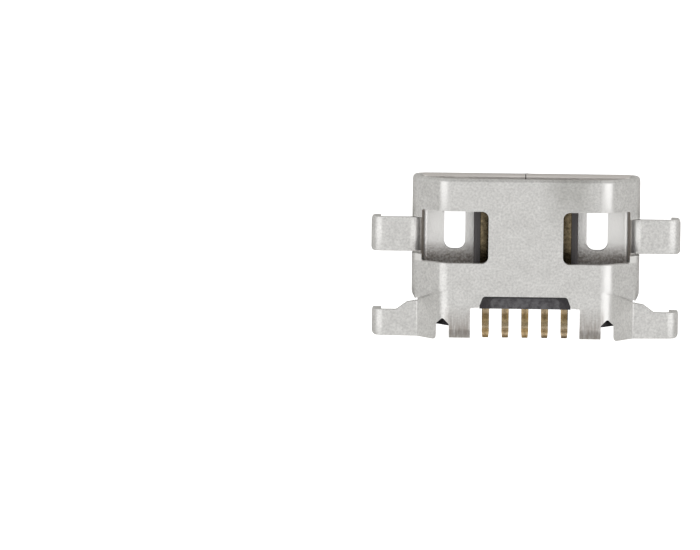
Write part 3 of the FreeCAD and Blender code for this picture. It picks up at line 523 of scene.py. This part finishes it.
def easedCopy(nodeName, pieceName, look, material):
    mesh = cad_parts[nodeName].data.copy()
    mesh.name = pieceName
    work = bmesh.new()
    work.from_mesh(mesh)
    nearby = look["mergeWithin"] * mm
    bmesh.ops.remove_doubles(work, verts=work.verts, dist=nearby)
    for vert in work.verts:
        if isInside(vert.co, look["tuckBox"]):
            vert.co.y += look["tuckMove"] * mm
    bmesh.ops.dissolve_degenerate(work, edges=work.edges, dist=nearby)
    flat = math.radians(look["flatAngle"])
    bmesh.ops.dissolve_limit(work, angle_limit=flat, verts=work.verts, edges=work.edges,
                             delimit={"NORMAL"})
    for face in work.faces:
        face.smooth = True
    eased = work.edges.layers.float.new("bevel_weight_edge")
    for edge in work.edges:
        if len(edge.link_faces) == 2:
            sharp = edge.calc_face_angle() >= math.radians(look["sharpAngle"])
            crowded = any(isInside(vert.co, box) for vert in edge.verts for box in look["leftSharp"])
            edge[eased] = 1.0 if sharp and not crowded else 0.0
            edge.smooth = not (sharp and crowded)
    work.to_mesh(mesh)
    work.free()
    piece = linkObject(pieceName, mesh, material)
    ease = piece.modifiers.new("easeEdges", "BEVEL")
    ease.width = look["easeWidth"] * mm
    ease.segments = look["easeSegments"]
    ease.limit_method = "WEIGHT"
    ease.use_clamp_overlap = True
    even = piece.modifiers.new("evenNormals", "WEIGHTED_NORMAL")
    even.keep_sharp = True
    even.weight = 100
    print(pieceName, "has", len(mesh.polygons), "faces before easing")
    return piece


# Boxes are spans in mm from the middle plane, along and up
shellPiece = {
    "mergeWithin": 0.0005,
    "flatAngle": 0.5,
    "sharpAngle": 56,
    "easeWidth": 0.022,
    "easeSegments": 2,
    # the sheet reaches a little further back beside the boss
    "tuckBox": ((1.5, 1.76), (1.43, 1.5), (2.1, 2.7)),
    "tuckMove": 0.1,
    # the crease and the slit's end have edges too short to ease
    "leftSharp": [((2.3, 3.85), (0.6, 2.15), (0.0, 3.0))],
}
insulatorPiece = {
    "mergeWithin": 0.0005,
    "flatAngle": 0.5,
    "sharpAngle": 40,
    "easeWidth": 0.025,
    "easeSegments": 2,
    # the rear face's upper edge beside the boss lies under the sheet
    "tuckBox": ((1.45, 1.9), (1.53, 1.58), (1.5, 2.4)),
    "tuckMove": -0.1,
    "leftSharp": [],
}

shell = easedCopy("shell", "foldedShell", shellPiece, sheetMetal)
insulator = easedCopy("insulator", "mouldedInsulator", insulatorPiece, plastic)
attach(shell, "root")
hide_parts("shell")
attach(insulator, "root")
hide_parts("insulator")
print("shell and insulator dressed")


# The contacts are one stamped strip, repeated at the pitch

contactRow = {
    "count": 5,
    "pitch": 0.65,
    "thickness": 0.15,
    "bladeWidth": 0.40,
    "tailWidth": 0.24,
    "tipWidth": 0.20,
    "top": 1.47,
    "start": -1.93,
    "shoulder": 0.67,
    "shoulderLength": 0.03,
    # the tail steps down between two bends
    "firstBend": 2.12,
    "drop": 0.22,
    "bendAngle": 45,
    "bendSteps": 4,
    "taper": 0.2,
    "end": 2.68,
    "easeWidth": 0.015,
    "easeSegments": 2,
    "easeAngle": 40,
    "sharpAngle": 50,
}


def contactStations(look):
    # middle line of the strip, seen from the side, with the width and the tilt at each place
    middle = look["top"] - look["thickness"] / 2
    low = middle - look["drop"]
    radius = look["thickness"]
    bendAngle = math.radians(look["bendAngle"])
    tangent = radius * math.tan(bendAngle / 2)
    secondBend = look["firstBend"] + look["drop"] / math.tan(bendAngle)
    angles = [bendAngle * step / look["bendSteps"] for step in range(look["bendSteps"] + 1)]
    stations = [
        (look["start"], middle, look["bladeWidth"], 0),
        (look["shoulder"] - look["shoulderLength"], middle, look["bladeWidth"], 0),
        (look["shoulder"], middle, look["tailWidth"], 0),
    ]
    for angle in angles:
        y = look["firstBend"] - tangent + radius * math.sin(angle)
        z = middle - radius + radius * math.cos(angle)
        stations.append((y, z, look["tailWidth"], -angle))
    for angle in reversed(angles):
        y = secondBend + tangent - radius * math.sin(angle)
        z = low + radius - radius * math.cos(angle)
        stations.append((y, z, look["tailWidth"], -angle))
    stations.append((look["end"] - look["taper"], low, look["tailWidth"], 0))
    stations.append((look["end"], low, look["tipWidth"], 0))
    return stations


def buildContactStrip(look):
    work = bmesh.new()
    half = look["thickness"] / 2
    rings = []
    for y, z, width, angle in contactStations(look):
        up = Vector((0, -math.sin(angle), math.cos(angle))) * half
        centre = Vector((0, y, z))
        side = Vector((width / 2, 0, 0))
        corners = [centre - side - up, centre + side - up, centre + side + up, centre - side + up]
        rings.append([work.verts.new(corner * mm) for corner in corners])
    for before, after in zip(rings, rings[1:]):
        for index in range(4):
            other = (index + 1) % 4
            work.faces.new((before[index], before[other], after[other], after[index]))
    work.faces.new(reversed(rings[0]))
    work.faces.new(rings[-1])
    bmesh.ops.recalc_face_normals(work, faces=work.faces)
    mesh = bpy.data.meshes.new("contactStrip")
    work.to_mesh(mesh)
    work.free()
    return mesh


def rowTree(material):
    tree = bpy.data.node_groups.new("contactRowTree", "GeometryNodeTree")
    tree.interface.new_socket("Geometry", in_out="INPUT", socket_type="NodeSocketGeometry")
    count = tree.interface.new_socket("Contact Count", in_out="INPUT", socket_type="NodeSocketInt")
    pitch = tree.interface.new_socket("Pitch", in_out="INPUT", socket_type="NodeSocketFloat")
    tree.interface.new_socket("Geometry", in_out="OUTPUT", socket_type="NodeSocketGeometry")
    start = addNode(tree, "NodeGroupInput", (-900, 0))
    end = addNode(tree, "NodeGroupOutput", (700, 0))
    # the row's first place is half the row to the left
    contactCount, gap = start.outputs["Contact Count"], start.outputs["Pitch"]
    spaces = combine(tree, (-700, -200), "SUBTRACT", contactCount, 1)
    rowLength = combine(tree, (-500, -200), "MULTIPLY", spaces, gap)
    halfBack = combine(tree, (-300, -200), "MULTIPLY", rowLength, -0.5)
    first = addNode(tree, "ShaderNodeCombineXYZ", (-100, -200))
    stepAlong = addNode(tree, "ShaderNodeCombineXYZ", (-100, -350))
    line = addNode(tree, "GeometryNodeMeshLine", (100, -200), mode="OFFSET")
    copies = addNode(tree, "GeometryNodeInstanceOnPoints", (250, 0))
    solid = addNode(tree, "GeometryNodeRealizeInstances", (400, 0))
    finish = addNode(tree, "GeometryNodeSetMaterial", (550, 0), Material=material)
    links = tree.links
    links.new(halfBack, first.inputs["X"])
    links.new(gap, stepAlong.inputs["X"])
    links.new(contactCount, line.inputs["Count"])
    links.new(first.outputs[0], line.inputs["Start Location"])
    links.new(stepAlong.outputs[0], line.inputs["Offset"])
    links.new(line.outputs["Mesh"], copies.inputs["Points"])
    links.new(start.outputs["Geometry"], copies.inputs["Instance"])
    links.new(copies.outputs["Instances"], solid.inputs["Geometry"])
    links.new(solid.outputs["Geometry"], finish.inputs["Geometry"])
    links.new(finish.outputs["Geometry"], end.inputs["Geometry"])
    return tree, count.identifier, pitch.identifier


# The evaluated result as a plain mesh, with no modifiers left
def bakeModifiers(piece):
    graph = bpy.context.evaluated_depsgraph_get()
    mesh = bpy.data.meshes.new_from_object(piece.evaluated_get(graph), depsgraph=graph)
    piece.modifiers.clear()
    piece.data = mesh


def buildContactRow(look, material):
    piece = linkObject("contactRow", buildContactStrip(look), material)
    ease = piece.modifiers.new("easeEdges", "BEVEL")
    ease.width = look["easeWidth"] * mm
    ease.segments = look["easeSegments"]
    ease.angle_limit = math.radians(look["easeAngle"])
    tree, countInput, pitchInput = rowTree(material)
    repeat = piece.modifiers.new("repeatContacts", "NODES")
    repeat.node_group = tree
    repeat[countInput] = look["count"]
    repeat[pitchInput] = look["pitch"] * mm
    bakeModifiers(piece)
    for face in piece.data.polygons:
        face.use_smooth = True
    piece.data.set_sharp_from_angle(angle=math.radians(look["sharpAngle"]))
    return piece


contacts = buildContactRow(contactRow, gold)
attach(contacts, "root")
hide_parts(*[f"contact_{number + 1}" for number in range(contactRow["count"])])
print("contacts repeated:", len(contacts.data.polygons), "faces")


# Floor, light and camera

studio = {
    "floorSize": 1200,
    "floorDrop": 0.02,
    "floorRoughness": 0.9,
    "floorColour": (0.74, 0.735, 0.72, 1),
    "shadeColour": (0.06, 0.055, 0.05, 1),
    "places": {"underSeam": {"Side": (None, 0.07, 0.02), "Along": (-2.66, -2.35, 0.05)}},
    "glow": (1, 1, 1, 1),
    "noGlow": (0, 0, 0, 1),
    "glowStrength": 1.0,
    "worldColour": (1.0, 0.99, 0.97, 1),
    "worldStrength": 0.56,
}
softboxes = {
    "left": {"place": (-150, 0, 155), "size": (200, 240), "brightness": 0.74},
    "right": {"place": (150, 0, 155), "size": (200, 240), "brightness": 0.74},
    "top": {"place": (0, 40, 300), "size": (260, 260), "brightness": 0.12},
}


def buildFloor(look):
    size = look["floorSize"] / 2 * mm
    level = -look["floorDrop"] * mm
    mesh = bpy.data.meshes.new("floor")
    corners = [(-size, -size, level), (size, -size, level), (size, size, level), (-size, size, level)]
    mesh.from_pydata(corners, [], [(0, 1, 2, 3)])
    material, tree, shader = newMaterial("paleFloor")
    shader.inputs["Roughness"].default_value = look["floorRoughness"]
    # dark right under the seam's open end
    ruler = useGroup(tree, placeRuler, (-1200, -500))
    shade = masksOf(tree, (-900, -500), ruler, look["places"])["underSeam"]
    colour = mixColours(tree, (-150, 0), look["floorColour"], look["shadeColour"], shade)
    tree.links.new(colour, shader.inputs["Base Color"])
    # white where the camera sees it, grey in what the metal reflects
    path = addNode(tree, "ShaderNodeLightPath", (-600, -200))
    unshaded = combine(tree, (-300, -500), "SUBTRACT", 1.0, shade)
    seen = combine(tree, (-150, -300), "MULTIPLY", path.outputs["Is Camera Ray"], unshaded)
    glow = mixColours(tree, (0, -300), look["noGlow"], look["glow"], seen)
    tree.links.new(glow, shader.inputs["Emission Color"])
    shader.inputs["Emission Strength"].default_value = look["glowStrength"]
    floor = linkObject("floor", mesh, material)


def buildLights(boxes, look):
    for name, box in boxes.items():
        lamp = bpy.data.lights.new(name + "Softbox", "AREA")
        lamp.shape = "RECTANGLE"
        lamp.size, lamp.size_y = (side * mm for side in box["size"])
        lamp.energy = box["brightness"] * math.pi * lamp.size * lamp.size_y
        holder = bpy.data.objects.new(name + "Softbox", lamp)
        holder.location = Vector(box["place"]) * mm
        holder.rotation_euler = (-holder.location).to_track_quat("-Z", "Y").to_euler()
        bpy.context.scene.collection.objects.link(holder)
    world = bpy.data.worlds.new("studioWorld")
    bpy.context.scene.world = world
    world.use_nodes = True
    sky = world.node_tree.nodes["Background"]
    sky.inputs["Color"].default_value = look["worldColour"]
    sky.inputs["Strength"].default_value = look["worldStrength"]


view = {
    "tilt": 5.8,
    "roll": 0.75,
    "distance": 250,
    "subjectHeight": 1.2,
    "pixelsPerMm": 30.3,
    "frame": (700, 550),
    "objectPixel": (525.6, 257.05),
    "sensor": 36,
    "clipStart": 10,
}


# The camera looks down at the narrow plate, from a little in front of the mouth
def buildCamera(look):
    tilt, roll = math.radians(look["tilt"]), math.radians(look["roll"])
    back = Vector((0, -math.sin(tilt), math.cos(tilt)))
    levelRight = Vector((-1, 0, 0))
    levelUp = Vector((0, -math.cos(tilt), -math.sin(tilt)))
    imageRight = levelRight * math.cos(roll) + levelUp * math.sin(roll)
    imageUp = levelUp * math.cos(roll) - levelRight * math.sin(roll)
    subject = Vector((0, 0, look["subjectHeight"]))
    place = subject + back * look["distance"]
    # the camera aims beside the part, so that the part lies at its pixel
    width, height = look["frame"]
    across = (look["objectPixel"][0] - width / 2) / look["pixelsPerMm"]
    down = (look["objectPixel"][1] - height / 2) / look["pixelsPerMm"]
    aim = subject - imageRight * across + imageUp * down
    away = (place - aim).normalized()
    right = imageUp.cross(away).normalized()
    turn = Matrix((right, away.cross(right), away)).transposed()
    data = bpy.data.cameras.new("photoCamera")
    data.sensor_width = look["sensor"]
    data.lens = look["sensor"] * look["distance"] / (width / look["pixelsPerMm"])
    data.clip_start = look["clipStart"] * mm
    camera = bpy.data.objects.new("photoCamera", data)
    camera.matrix_world = Matrix.Translation(place * mm) @ turn.to_4x4()
    bpy.context.scene.collection.objects.link(camera)
    bpy.context.scene.camera = camera


buildFloor(studio)
buildLights(softboxes, studio)
buildCamera(view)
bpy.context.scene.view_settings.view_transform = "Standard"
print("studio set")
